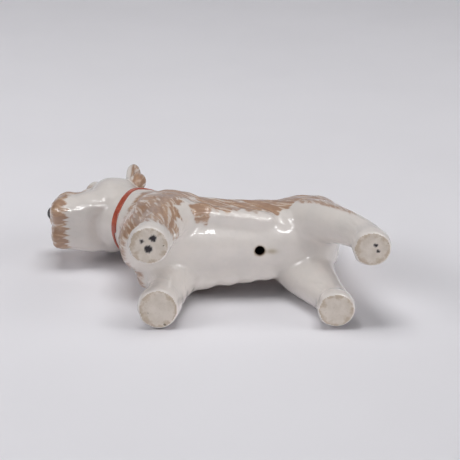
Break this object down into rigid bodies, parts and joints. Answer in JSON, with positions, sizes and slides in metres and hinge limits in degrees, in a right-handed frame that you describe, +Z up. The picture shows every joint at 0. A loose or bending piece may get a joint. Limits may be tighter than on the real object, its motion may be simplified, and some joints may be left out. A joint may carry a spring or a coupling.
{
  "type": "ceramic dog figurine",
  "caption": "Small glazed ceramic terrier standing on flat unglazed feet, white with tan brushwork and a red collar, hollow with a vent hole in the belly.",
  "frame": {"origin": "on the ground plane under the feet, at the middle of the figurine's footprint box", "axes": "+Z up, -Y the way the dog looks, +X the dog's left side"},
  "size_m": [0.0322, 0.103, 0.0707],
  "materials": {
    "glazed_white": "clear gloss glaze over white body, tan brushwork, bare flat soles",
    "red_enamel": "gloss red enamel",
    "black_enamel": "gloss black enamel"
  },
  "bodies": {
    "root": {"torso": "glazed_white", "head": "glazed_white", "front_left_leg": "glazed_white", "front_right_leg": "glazed_white", "hind_left_leg": "glazed_white", "hind_right_leg": "glazed_white", "tail": "glazed_white", "left_ear": "glazed_white", "right_ear": "glazed_white", "collar": "red_enamel", "nose": "black_enamel", "left_eye": "black_enamel", "right_eye": "black_enamel"}
  },
  "joints": []
}
